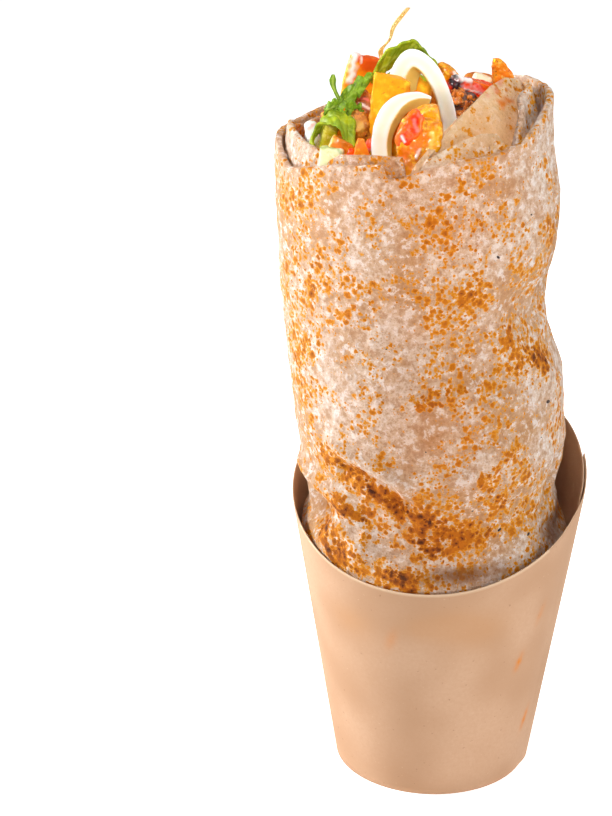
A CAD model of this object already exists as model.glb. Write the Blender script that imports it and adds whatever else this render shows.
import math

import bmesh
import bpy
import numpy as np
from mathutils import Matrix, Vector, noise
from mathutils.bvhtree import BVHTree


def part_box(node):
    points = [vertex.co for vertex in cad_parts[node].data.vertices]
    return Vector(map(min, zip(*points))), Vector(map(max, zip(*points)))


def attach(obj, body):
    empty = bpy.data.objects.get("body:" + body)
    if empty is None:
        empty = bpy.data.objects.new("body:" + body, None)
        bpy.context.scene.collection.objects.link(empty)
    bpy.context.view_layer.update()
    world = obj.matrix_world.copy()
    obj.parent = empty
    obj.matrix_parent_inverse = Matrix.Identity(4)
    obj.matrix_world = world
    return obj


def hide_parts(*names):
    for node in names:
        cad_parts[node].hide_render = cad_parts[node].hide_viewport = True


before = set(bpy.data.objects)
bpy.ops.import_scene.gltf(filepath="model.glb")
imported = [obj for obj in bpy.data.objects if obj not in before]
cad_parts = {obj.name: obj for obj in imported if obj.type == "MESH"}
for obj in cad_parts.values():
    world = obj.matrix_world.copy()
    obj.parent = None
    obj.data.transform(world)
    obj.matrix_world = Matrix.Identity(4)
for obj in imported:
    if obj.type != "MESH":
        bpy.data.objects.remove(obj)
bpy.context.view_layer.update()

# Shapes are worked out in millimetres from the middle of the cup's foot, and finished in metres.
# The camera side is -Y, +Z is up, and theta is the turn round the wrap from -Y towards +X.
footLow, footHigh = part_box("cup_base")
cupAxis = (footLow + footHigh) / 2
cupAxis.z = 0.0
mm = 0.001

# camera, placed as the photograph's
cameraValues = {"place": (-39.76, -612.95, 366.53), "tilt": 67.8, "lens": 97.06}
cameraData = bpy.data.cameras.new("camera")
cameraData.lens = cameraValues["lens"]
camera = bpy.data.objects.new("camera", cameraData)
camera.location = Vector(cameraValues["place"]) * mm + cupAxis
camera.rotation_euler = (math.radians(cameraValues["tilt"]), 0, 0)
bpy.context.scene.collection.objects.link(camera)
bpy.context.scene.camera = camera
print("camera placed")


# small helpers

# Reads a column of a table at any place, or at many places.
def lookup(table, at, column=1):
    return np.interp(at, [row[0] for row in table], [row[column] for row in table])


# An everyday 0 to 255 colour as the linear colour a shader wants.
def srgb(red, green, blue):
    linear = []
    for value in (red, green, blue):
        share = value / 255
        linear.append(share / 12.92 if share <= 0.04045 else ((share + 0.055) / 1.055) ** 2.4)
    return (*linear, 1.0)


# One number from about -1 to 1 for each point, with bumps about as large as size.
def noiseAt(points, size, seed=0.0):
    shift = Vector((seed * 3.1, seed * 1.7, -seed))
    return np.array([noise.noise(Vector(point) / size + shift) for point in points])


# A push in all three directions for each point.
def noisePush(points, size, seeds):
    return np.stack([noiseAt(points, size, seed) for seed in seeds], axis=1)


# Uneven edge round the wrap, one number for each theta.
def raggedEdge(theta, size, level=0.0):
    angle = np.radians(theta)
    return noiseAt(np.stack([np.sin(angle), np.cos(angle), theta * 0 + level], axis=1), size)


# Places along a row of points, where 1 is the second point, 2 the third and so on.
def placeAlong(path, at):
    steps = range(len(path))
    return np.stack([np.interp(at, steps, [point[i] for point in path]) for i in range(3)], axis=1)


def pointsOf(mesh):
    return np.array([vertex.co[:] for vertex in mesh.verts])


def normalsOf(mesh):
    mesh.normal_update()
    return np.array([vertex.normal[:] for vertex in mesh.verts])


def movePoints(mesh, points):
    for vertex, point in zip(mesh.verts, points):
        vertex.co = point


# A grid whose points at (u, v), each from 0 to 1, are moved to place(u, v). Gives (u, v) back too.
def gridSheet(columns, rows, place):
    mesh = bmesh.new()
    bmesh.ops.create_grid(mesh, x_segments=columns, y_segments=rows, size=0.5)
    u, v = pointsOf(mesh)[:, 0] + 0.5, pointsOf(mesh)[:, 1] + 0.5
    movePoints(mesh, place(u, v))
    return mesh, u, v


# Merges the points that meet at a seam, and turns the faces outwards.
def closeSeams(mesh, fillHoles=False):
    bmesh.ops.remove_doubles(mesh, verts=mesh.verts, dist=0.01)
    if fillHoles:
        bmesh.ops.holes_fill(mesh, edges=[edge for edge in mesh.edges if edge.is_boundary])
    bmesh.ops.recalc_face_normals(mesh, faces=mesh.faces)


# Keeps a value from 0 to 1 on each point for the material to read.
def paint(mesh, name, values):
    layer = mesh.verts.layers.float.get(name) or mesh.verts.layers.float.new(name)
    for vertex, value in zip(mesh.verts, values):
        vertex[layer] = float(min(1.0, max(0.0, value)))


# 1 on a path through space, falling softly to 0 at width from it.
def nearPath(points, path, width):
    nearest = np.full(len(points), 1e9)
    for first, second in zip(path, path[1:]):
        a, b = np.array(first, float), np.array(second, float)
        run = b - a
        share = np.clip((points - a) @ run / max(1e-9, run @ run), 0, 1)
        nearest = np.minimum(nearest, np.linalg.norm(points - a - share[:, None] * run, axis=1))
    return np.clip(1.5 * (1 - nearest / width), 0, 1)


# Rotation that carries X and Z onto the given directions, Z first.
def turned(axisX, axisZ):
    z = Vector(axisZ).normalized()
    x = Vector(axisX)
    x = (x - z * x.dot(z)).normalized()
    return Matrix((x, z.cross(x), z)).transposed()


# Turns a bmesh into mesh data, and frees it.
def meshData(name, mesh):
    data = bpy.data.meshes.new(name)
    mesh.to_mesh(data)
    mesh.free()
    return data


def linkedObject(name, data):
    made = bpy.data.objects.new(name, data)
    bpy.context.scene.collection.objects.link(made)
    return made


# The mesh of an object once its modifiers are carried out.
def finishedMesh(made):
    bpy.context.view_layer.update()
    return bpy.data.meshes.new_from_object(made.evaluated_get(bpy.context.evaluated_depsgraph_get()))


# Makes a millimetre bmesh into a piece of the wrap, in metres in the shared frame.
def finishPiece(name, mesh, material, nodes=(), modifiers=()):
    bmesh.ops.scale(mesh, vec=(mm, mm, mm), verts=mesh.verts)
    bmesh.ops.translate(mesh, vec=cupAxis, verts=mesh.verts)
    bmesh.ops.remove_doubles(mesh, verts=mesh.verts, dist=0.00001)
    bmesh.ops.recalc_face_normals(mesh, faces=mesh.faces)
    for face in mesh.faces:
        face.smooth = True
    made = linkedObject(name, meshData(name, mesh))
    made.data.materials.append(material)
    for kind, settings in modifiers:
        added = made.modifiers.new(kind.title(), kind)
        for key, value in settings.items():
            setattr(added, key, value)
    if modifiers:
        finished = finishedMesh(made)
        made.modifiers.clear()
        made.data = finished
    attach(made, "root")
    for node in nodes:
        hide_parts(node)
    return made


# material helpers

# Adds a node, sets its options, and links or fills its inputs.
def addNode(tree, kind, inputs=None, **settings):
    node = tree.nodes.new(kind)
    for key, value in settings.items():
        setattr(node, key, value)
    for key, value in (inputs or {}).items():
        if isinstance(value, bpy.types.NodeSocket):
            tree.links.new(value, node.inputs[key])
        else:
            node.inputs[key].default_value = value
    return node


def calc(tree, operation, first, second=0.0):
    return addNode(tree, "ShaderNodeMath", {0: first, 1: second}, operation=operation).outputs[0]


def blendColours(tree, factor, first, second, kind="MIX"):
    node = addNode(
        tree, "ShaderNodeMix", {0: factor, 6: first, 7: second}, data_type="RGBA", blend_type=kind,
    )
    return node.outputs[2]


def newGroup(name, inputs, outputs):
    group = bpy.data.node_groups.new(name, "ShaderNodeTree")
    for label, kind, value in inputs:
        socket = group.interface.new_socket(name=label, in_out="INPUT", socket_type=kind)
        if value is not None:
            socket.default_value = value
    for label, kind in outputs:
        group.interface.new_socket(name=label, in_out="OUTPUT", socket_type=kind)
    return group, addNode(group, "NodeGroupInput"), addNode(group, "NodeGroupOutput")


# Soft patches: 0 below Low, 1 above High.
def makeCloudGroup():
    group, source, result = newGroup("softPatches", [
        ("Vector", "NodeSocketVector", None), ("Scale", "NodeSocketFloat", 100.0),
        ("Detail", "NodeSocketFloat", 3.0), ("Low", "NodeSocketFloat", 0.4), ("High", "NodeSocketFloat", 0.6),
    ], [("Mask", "NodeSocketFloat")])
    cloud = addNode(group, "ShaderNodeTexNoise", {
        "Vector": source.outputs["Vector"], "Scale": source.outputs["Scale"],
        "Detail": source.outputs["Detail"], "Roughness": 0.6,
    })
    mask = addNode(group, "ShaderNodeMapRange", {
        "Value": cloud.outputs["Fac"], "From Min": source.outputs["Low"], "From Max": source.outputs["High"],
    }, interpolation_type="SMOOTHSTEP")
    group.links.new(mask.outputs["Result"], result.inputs["Mask"])
    return group


# Ragged round spots of uneven size, such as the baked freckles of a flatbread.
def makeSpotGroup():
    group, source, result = newGroup("raggedSpots", [
        ("Vector", "NodeSocketVector", None), ("Scale", "NodeSocketFloat", 300.0),
        ("Amount", "NodeSocketFloat", 0.4), ("Ragged", "NodeSocketFloat", 0.3),
    ], [("Mask", "NodeSocketFloat"), ("Centre", "NodeSocketFloat")])
    doubled = calc(group, "MULTIPLY", source.outputs["Scale"], 1.8)
    wobble = addNode(group, "ShaderNodeTexNoise", {
        "Vector": source.outputs["Vector"], "Scale": doubled, "Detail": 2.0,
    })
    centred = addNode(group, "ShaderNodeVectorMath", {
        0: wobble.outputs["Color"], 1: (0.5, 0.5, 0.5),
    }, operation="SUBTRACT")
    reach = calc(group, "DIVIDE", source.outputs["Ragged"], source.outputs["Scale"])
    scaled = addNode(group, "ShaderNodeVectorMath", {
        0: centred.outputs[0], "Scale": reach,
    }, operation="SCALE")
    moved = addNode(group, "ShaderNodeVectorMath", {
        0: source.outputs["Vector"], 1: scaled.outputs[0],
    }, operation="ADD")
    cells = addNode(group, "ShaderNodeTexVoronoi", {
        "Vector": moved.outputs[0], "Scale": source.outputs["Scale"], "Randomness": 1.0,
    })
    split = addNode(group, "ShaderNodeSeparateColor", {"Color": cells.outputs["Color"]})
    radius = calc(group, "MULTIPLY", calc(group, "POWER", split.outputs[0], 0.9), source.outputs["Amount"])
    radius = calc(group, "MAXIMUM", radius, 0.001)
    inner = calc(group, "MULTIPLY", radius, 0.35)
    mask = addNode(group, "ShaderNodeMapRange", {
        "Value": cells.outputs["Distance"], "From Min": radius, "From Max": inner,
    }, interpolation_type="SMOOTHSTEP")
    centre = addNode(group, "ShaderNodeMapRange", {
        "Value": cells.outputs["Distance"], "From Min": inner, "From Max": 0.0,
    }, interpolation_type="SMOOTHSTEP")
    group.links.new(mask.outputs["Result"], result.inputs["Mask"])
    group.links.new(centre.outputs["Result"], result.inputs["Centre"])
    return group


softPatches = makeCloudGroup()
raggedSpots = makeSpotGroup()


# A material being built: its node tree, its shader and its object coordinates.
class Look:

    def __init__(self, name, roughness=0.5, **uniform):
        self.material = bpy.data.materials.new(name)
        self.material.use_nodes = True
        self.tree = self.material.node_tree
        self.shader = self.tree.nodes["Principled BSDF"]
        self.shader.inputs["Roughness"].default_value = roughness
        for key, value in uniform.items():
            self.shader.inputs[key.replace("_", " ")].default_value = value
        self.coords = addNode(self.tree, "ShaderNodeTexCoord").outputs["Object"]

    def patches(self, scale, low, high, detail=3.0):
        return addNode(self.tree, "ShaderNodeGroup", {
            "Vector": self.coords, "Scale": scale, "Detail": detail, "Low": low, "High": high,
        }, node_tree=softPatches).outputs["Mask"]

    def spots(self, scale, amount, ragged=0.5):
        made = addNode(self.tree, "ShaderNodeGroup", {
            "Vector": self.coords, "Scale": scale, "Amount": amount, "Ragged": ragged,
        }, node_tree=raggedSpots)
        return made.outputs["Mask"], made.outputs["Centre"]

    def grain(self, scale, detail=3.0, roughness=0.6):
        return addNode(self.tree, "ShaderNodeTexNoise", {
            "Vector": self.coords, "Scale": scale, "Detail": detail, "Roughness": roughness,
        }).outputs["Fac"]

    # 0 at low and 1 at high, with a soft change between; low may be the larger
    def soft(self, value, low, high):
        return addNode(self.tree, "ShaderNodeMapRange", {
            "Value": value, "From Min": low, "From Max": high,
        }, interpolation_type="SMOOTHSTEP").outputs["Result"]

    def painted(self, name):
        return addNode(self.tree, "ShaderNodeAttribute", attribute_name=name).outputs["Fac"]

    def math(self, operation, first, second=0.0):
        return calc(self.tree, operation, first, second)

    def mix(self, factor, first, second, kind="MIX"):
        return blendColours(self.tree, factor, first, second, kind)

    def ramp(self, factor, stops):
        node = addNode(self.tree, "ShaderNodeValToRGB", {"Fac": factor})
        ramp = node.color_ramp
        while len(ramp.elements) < len(stops):
            ramp.elements.new(0.5)
        for element, (place, colour) in zip(ramp.elements, stops):
            element.position = place
            element.color = colour
        return node.outputs["Color"]

    # Each layer is (height, strength, depth in millimetres).
    def bump(self, layers):
        normal = None
        for height, strength, depth in layers:
            inputs = {"Height": height, "Strength": strength, "Distance": depth * mm}
            if normal is not None:
                inputs["Normal"] = normal
            normal = addNode(self.tree, "ShaderNodeBump", inputs).outputs["Normal"]
        self.tree.links.new(normal, self.shader.inputs["Normal"])

    # A mask made weaker or stronger by a fixed share.
    def share(self, mask, amount):
        return calc(self.tree, "MULTIPLY", mask, amount)

    def use(self, key, value):
        self.tree.links.new(value, self.shader.inputs[key])


# paper cup

cup = {
    "foot": 30.0,          # outer radius on the table
    "slope": 0.157,        # radius gained for each millimetre of height
    "paper": 0.5,
    "rimLevel": 92.0,      # height of the slanted cut on the cup's axis
    "rimSlope": 0.4223,
    "rimLowTurn": -13.3,
    "seamTurn": 98.0,      # where the outer end of the paper lies
    "seamOverlap": 20.0,
    "seamGap": 0.36,
    "columns": 300,
    "baseLevel": 5.0,
    "skirt": 1.4,
}
# small stains and wide pale smudges on the paper: theta, height, size, and strength for a stain
cupMarks = {
    "degree": 0.65,        # millimetres round the cup for one degree
    "lean": 0.35,          # how far a stain leans for each millimetre up
    "stains": [
        (41.0, 45.0, 1.5, 0.95), (57.0, 20.0, 1.9, 0.95), (51.0, 60.0, 1.8, 0.35), (-22.0, 57.0, 2.2, 0.3),
    ],
    "smudges": [(-42.0, 60.0, 5.0), (4.0, 64.0, 5.0), (16.0, 61.0, 6.0), (-8.0, 62.0, 4.0)],
}


def cupRadius(height):
    return cup["foot"] + cup["slope"] * height


def cupRim(theta):
    run = cup["rimSlope"] * np.cos(np.radians(theta - cup["rimLowTurn"]))
    return (cup["rimLevel"] - run * cup["foot"]) / (1 + run * cup["slope"])


def makeKraft(name):
    look = Look(name, roughness=0.78, Specular_IOR_Level=0.25)
    tone = look.patches(38, 0.3, 0.7, 1.2)
    fine = look.grain(900, 4.0, 0.7)
    fibre = addNode(look.tree, "ShaderNodeMapping", {"Vector": look.coords, "Scale": (1.0, 1.0, 0.28)})
    threads = addNode(look.tree, "ShaderNodeTexNoise", {
        "Vector": fibre.outputs["Vector"], "Scale": 1500.0, "Detail": 4.0, "Roughness": 0.7,
        "Distortion": 0.6,
    }).outputs["Fac"]
    base = look.mix(tone, srgb(186, 146, 114), srgb(206, 168, 138))
    base = look.mix(look.share(fine, 0.7), base, srgb(186, 142, 106))
    dark, _ = look.spots(420, 0.16, 0.9)
    pale, _ = look.spots(560, 0.14, 0.9)
    base = look.mix(look.share(dark, 0.5), base, srgb(146, 98, 62))
    base = look.mix(look.share(pale, 0.3), base, srgb(228, 198, 170))
    base = look.mix(look.painted("stain"), base, srgb(214, 122, 12))
    base = look.mix(look.share(look.painted("smudge"), 0.32), base, srgb(196, 140, 88))
    base = look.mix(look.painted("cut"), base, srgb(232, 200, 166))
    look.use("Base Color", base)
    look.bump([(threads, 0.5, 0.06), (tone, 0.2, 0.2)])
    return look.material


def rollCup(material):
    turn = 360.0 + cup["seamOverlap"]
    # (share of the height, depth into the paper) from the inner foot, over the cut edge, to the outer foot
    profile = [(level, 1.0) for level in np.linspace(0, 0.985, 40)]
    profile += [(0.997, 0.92), (1.0, 0.65), (1.0, 0.35), (0.997, 0.08)]
    profile += [(level, 0.0) for level in np.linspace(0.985, 0, 40)]
    profile += [(0.0, 1.0)]
    last = len(profile) - 1

    def place(u, v):
        theta = cup["seamTurn"] - cup["seamOverlap"] + u * turn
        step = v * last
        level = np.interp(step, range(last + 1), [row[0] for row in profile])
        depth = np.interp(step, range(last + 1), [row[1] for row in profile])
        lift = np.interp(u, [0.915, 0.945], [0, cup["paper"] + cup["seamGap"]])
        height = level * cupRim(theta)
        wave = 0.12 * np.sin(np.radians(theta * 3)) * level ** 3
        wave += 0.08 * np.sin(np.radians(theta * 7 + 40)) * level ** 6
        radius = cupRadius(height) - cup["paper"] * depth + lift + wave
        angle = np.radians(theta)
        return np.stack([radius * np.sin(angle), -radius * np.cos(angle), height], axis=1)

    mesh, _, _ = gridSheet(cup["columns"], last, place)
    bmesh.ops.remove_doubles(mesh, verts=mesh.verts, dist=0.001)
    bmesh.ops.holes_fill(mesh, edges=[edge for edge in mesh.edges if edge.is_boundary])
    points = pointsOf(mesh)
    theta = np.degrees(np.arctan2(points[:, 0], -points[:, 1]))
    rim = cupRim(theta)
    radius = np.hypot(points[:, 0], points[:, 1])
    paint(mesh, "cut", np.where((points[:, 2] > rim - 0.25) & (radius > 10), 0.8, 0.0))
    stain, smudge = np.zeros(len(points)), np.zeros(len(points))
    for markTurn, level, size, strength in cupMarks["stains"]:
        rise = points[:, 2] - level
        across = (theta - markTurn) * cupMarks["degree"] - cupMarks["lean"] * rise
        stain += strength * np.exp(-(2.4 * across ** 2 + 0.4 * rise ** 2) / size ** 2)
    for markTurn, level, size in cupMarks["smudges"]:
        across = (theta - markTurn) * cupMarks["degree"]
        smudge += np.exp(-(across ** 2 / 2.2 + (points[:, 2] - level) ** 2) / size ** 2)
    paint(mesh, "stain", stain)
    paint(mesh, "smudge", smudge)
    return finishPiece("cup_wall_paper", mesh, material, ["cup_wall"])


# The raised bottom disc with its folded skirt, turned round the cup's axis.
def spinCupBase(material):
    inside = cup["foot"] - cup["paper"] - cup["seamGap"]
    top = cup["baseLevel"] + cup["paper"]
    skirt, under = inside - cup["skirt"], cup["baseLevel"]
    profile = [
        (0, top), (inside - 1.2, top), (inside - 0.1, top - 0.15), (inside + 0.45, top - 0.8),
        (inside + 0.05, 0.25), (inside - 0.25, 0), (skirt + 0.2, 0), (skirt, 0.25),
        (skirt + 0.5, under - 0.4), (skirt - 0.2, under), (0, under),
    ]
    mesh = bmesh.new()
    corners = [mesh.verts.new((x, 0, z)) for x, z in profile]
    for first, second in zip(corners, corners[1:]):
        mesh.edges.new((first, second))
    bmesh.ops.spin(
        mesh, geom=mesh.verts[:] + mesh.edges[:], axis=(0, 0, 1), cent=(0, 0, 0), angle=math.tau, steps=96,
        use_merge=True,
    )
    return finishPiece("cup_base_disc", mesh, material, ["cup_base"])


kraft = makeKraft("kraftPaper")
rollCup(kraft)
spinCupBase(kraft)
print("cup made")


# tortilla

wrap = {
    "floor": 6.2,
    "tuck": 76.0,          # the wrap fills the cup below this height
    "outerSheet": 2.0,
    "innerSheet": 1.8,
    "depthShift": -1.5,
    "rimMean": 200.0,
    "rimStart": 150.0,     # rows above this height follow the uneven rim
    "columns": 380,
    "rows": 176,
    "wrinkle": 0.40,       # relief of the small wrinkles
}
# height, left edge, right edge of the wrap as seen from the front
wrapEdges = [
    (76, -40.9, 40.8), (80, -41.3, 39.8), (83, -40.7, 38.8), (86, -38.9, 37.7), (89.5, -39.2, 36.9),
    (93, -39.9, 35.4), (99, -40.7, 36.2), (104, -41.0, 37.5), (110, -42.0, 38.0), (117, -43.4, 37.0),
    (127, -44.5, 36.8), (132, -45.1, 36.3), (141, -46.0, 32.9), (146, -46.3, 31.6), (153, -46.7, 30.4),
    (160, -47.4, 31.0), (169, -47.7, 32.6), (178, -48.2, 33.3), (187, -48.7, 33.2), (200, -48.9, 30.9),
    (216, -48.5, 30.0),
]
# theta, height of the outer sheet's rim
outerRim = [
    (-180, 206), (-150, 203), (-120, 200.5), (-90, 201), (-65, 196.7), (-50, 199), (-37, 201.4),
    (-16, 203.2), (-14.6, 202.8), (-13.9, 201.8), (-13.2, 199.8), (-12.4, 199.3), (-6, 200), (2, 202.3),
    (16, 204), (33, 204.8), (45, 206), (58, 209.7), (66, 211.7), (75, 213), (90, 214.5), (120, 214),
    (150, 210), (180, 206),
]
# theta, height of the inner sheet's rim
innerRim = [
    (-180, 203), (-120, 200), (-100, 203), (-90, 206), (-84, 205.4), (-72, 204.6), (-50, 203.3),
    (-46, 199.8), (-40, 202.0), (-36, 203.6), (-20, 204.9), (-6.8, 205), (-5.4, 197), (40, 197),
    (52, 205), (60, 211.5), (68, 215), (80, 217), (95, 216.4), (120, 212), (150, 207), (180, 203),
]
# theta, how far the inner sheet's rim leans into the opening
innerLean = [
    (-180, 1.0), (-100, 1.6), (-50, 1.5), (-36, 0.4), (-6, 0.3), (40, 0.3), (56, 3.5), (75, 5.0),
    (105, 4.0), (130, 1.5), (180, 1.0),
]
# folds in the outer sheet: height of the relief, half-width, then (theta, height) along it
wrapFolds = [
    (-4.6, 4.4, [(-79, 93), (-70, 91.5), (-62, 90.5)]),
    (2.4, 3.2, [(-80, 103), (-65, 100.6), (-48, 99.3), (-40, 96.2)]),
    (-2.3, 3.0, [(-42, 109.7), (-32, 109.1), (-22, 105.8), (-14, 101.5)]),
    (2.0, 3.0, [(-42, 117), (-35, 115), (-26, 113.5), (-14, 108)]),
    (3.0, 5.0, [(-55, 87), (-45, 89), (-37, 87)]),
    (-2.6, 4.0, [(-6, 79), (8, 80), (25, 80.5)]),
    (1.4, 4.0, [(28, 118.6), (20, 114.8), (13, 110.7)]),
    (-2.0, 4.0, [(71, 107), (67, 98)]),
    (-1.6, 5.0, [(58, 86), (86, 81)]),
    (-0.9, 4.0, [(4, 153), (13, 150), (26, 144)]),
    (-1.8, 6.0, [(72, 162), (64, 157), (46, 161)]),
    (1.5, 5.0, [(36, 149), (46, 144), (60, 138)]),
]
# sharper small creases on top of them
wrapCreases = [
    (0.55, 1.3, [(-15, 134), (-4, 135.5), (8, 137.5), (14, 139)]),
    (0.5, 1.2, [(-34, 113), (-24, 110), (-15, 104.5), (-6, 99)]),
    (0.5, 1.1, [(-30, 106.5), (-20, 103), (-11, 97), (-4, 92)]),
    (0.6, 1.2, [(48, 126), (34, 119.5), (22, 114), (12, 108)]),
    (-0.5, 1.3, [(-58, 92), (-48, 93.5), (-40, 91)]),
    (0.4, 1.2, [(-52, 97.5), (-44, 95.5), (-36, 91.5)]),
    (0.4, 1.2, [(60, 152), (54, 146), (47, 138)]),
    (-0.35, 1.4, [(38, 101), (48, 98), (60, 100)]),
    (0.4, 1.3, [(20, 92), (34, 95), (47, 91)]),
]
# places that the griddle browned more: theta, height, half-width round, half-height, strength, tilt
toastPatches = [
    (-33, 105, 19, 5.5, 1.0, -0.45), (-12, 97, 15, 6.5, 0.9, -0.5), (3, 90, 17, 6.5, 0.95, 0.1),
    (-60, 86, 8, 8, 0.9, 0.0), (-44, 80, 16, 5, 1.0, -0.3), (-20, 79, 14, 4, 0.9, -0.2),
    (-48, 97, 14, 5, 0.9, -0.3), (31, 101, 13, 7, 0.6, -0.2), (44, 107, 8, 6, 0.6, 0.0),
    (18, 112, 10, 5, 0.5, 0.6), (50, 141, 11, 5.5, 0.85, -0.35), (38, 141, 7, 4, 0.55, 0.0),
    (-5, 135.5, 14, 3.5, 0.6, 0.0), (3, 186, 12, 6, 0.35, 0.0), (3, 178, 8, 4, 0.4, 0.0),
    (-8, 178, 6, 5, 0.3, 0.0), (5, 165, 8, 6, 0.45, 0.0), (19, 164, 8, 3, 0.45, 0.2),
    (37, 181, 6, 8, 0.4, 0.3), (16, 168, 6, 5, 0.4, 0.0), (-23, 167, 10, 5, 0.35, 0.0),
    (-40, 162, 9, 6, 0.4, 0.0), (-62, 140, 10, 14, 0.4, 0.0), (-60, 168, 12, 12, 0.45, 0.0),
    (58, 178, 8, 14, 0.4, 0.0), (70, 118, 8, 14, 0.35, 0.0), (12, 139, 5, 5, 0.3, 0.0),
    (32, 152, 7, 9, 0.45, 0.0), (-66, 190, 14, 8, 0.4, 0.0), (110, 150, 20, 26, 0.5, 0.3),
    (150, 110, 26, 14, 0.6, -0.3), (-130, 160, 24, 22, 0.5, 0.2), (-160, 100, 20, 12, 0.7, 0.3),
    (-110, 105, 16, 10, 0.6, 0.0), (170, 180, 22, 12, 0.5, 0.0), (125, 92, 18, 8, 0.7, 0.0),
]
degree = 39.0 * math.radians(1.0)   # millimetres round the wrap for one degree


def wrapHalf(height):
    left, right = lookup(wrapEdges, height, 1), lookup(wrapEdges, height, 2)
    inCup = cup["foot"] - cup["paper"] - cup["seamGap"] + cup["slope"] * height - 0.15
    tucked = height <= wrap["tuck"]
    return np.where(tucked, inCup, (right - left) / 2), np.where(tucked, 0.0, (right + left) / 2)


# How far folds push the sheet out or in at (theta, height).
def foldRelief(theta, height, folds):
    total = np.zeros(len(theta))
    x = theta * degree
    for amount, width, path in folds:
        nearest = np.full(len(theta), 1e9)
        for first, second in zip(path, path[1:]):
            ax, ay, bx, by = first[0] * degree, first[1], second[0] * degree, second[1]
            share = ((x - ax) * (bx - ax) + (height - ay) * (by - ay)) / ((bx - ax) ** 2 + (by - ay) ** 2)
            share = np.clip(share, 0, 1)
            away = np.hypot(x - ax - share * (bx - ax), height - ay - share * (by - ay))
            nearest = np.minimum(nearest, away)
        total += amount * np.exp(-((nearest / width) ** 2))
    return total


# Points on the wrap's outside, or inset from it.
def wrapPoints(theta, height, inset=0.0):
    theta, height = np.asarray(theta, float), np.asarray(height, float)
    half, centre = wrapHalf(height)
    angle = np.radians(theta)
    low = np.clip(1 - (height - wrap["floor"]) / 6, 0, 1)
    radius = half - inset - 3.0 * low ** 2
    calm = np.clip((height - wrap["tuck"]) / 6, 0, 1)
    sway = noiseAt(np.stack([np.sin(angle) * 1.6, np.cos(angle) * 1.6, height / 26], axis=1), 1.0)
    radius = radius + calm * (foldRelief(theta, height, wrapFolds) + 0.8 * sway)
    shift = wrap["depthShift"] * np.clip((height - wrap["tuck"]) / 40, 0, 1)
    return np.stack([centre + radius * np.sin(angle), shift - radius * np.cos(angle), height], axis=1)


def toastAt(theta, height):
    total = np.zeros(len(theta))
    for turn, level, across, up, strength, tilt in toastPatches:
        x = ((theta - turn + 180) % 360 - 180) * degree
        z = height - level - tilt * x
        total = np.maximum(total, strength * np.exp(-((x / across) ** 2) - (z / up) ** 2))
    return total


# Small wrinkles and blisters, as a push along the outward direction.
def wrinkles(points, theta, height):
    rough = 0.55 + 0.45 * np.cos(np.radians(theta + 35))      # the left and front are the most blistered
    relief = wrap["wrinkle"] * noiseAt(points, 6.0, 1.0) + 0.26 * rough * noiseAt(points, 2.6, 2.0)
    relief += 0.16 * rough * noiseAt(points, 1.4, 3.0)
    pleats = np.exp(-(((theta - 74) / 20) ** 2)) * np.clip((height - 140) / 30, 0, 1)
    relief += 0.35 * pleats * np.sin(theta * 0.62 + 0.08 * height + 2 * noiseAt(points, 14.0, 4.0))
    relief += foldRelief(theta, height, wrapCreases)
    return relief


def rimHeight(height, rim):
    raised = wrap["rimStart"] + (height - wrap["rimStart"]) * (rim - wrap["rimStart"]) / (
        wrap["rimMean"] - wrap["rimStart"])
    return np.where(height > wrap["rimStart"], raised, height)


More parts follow.
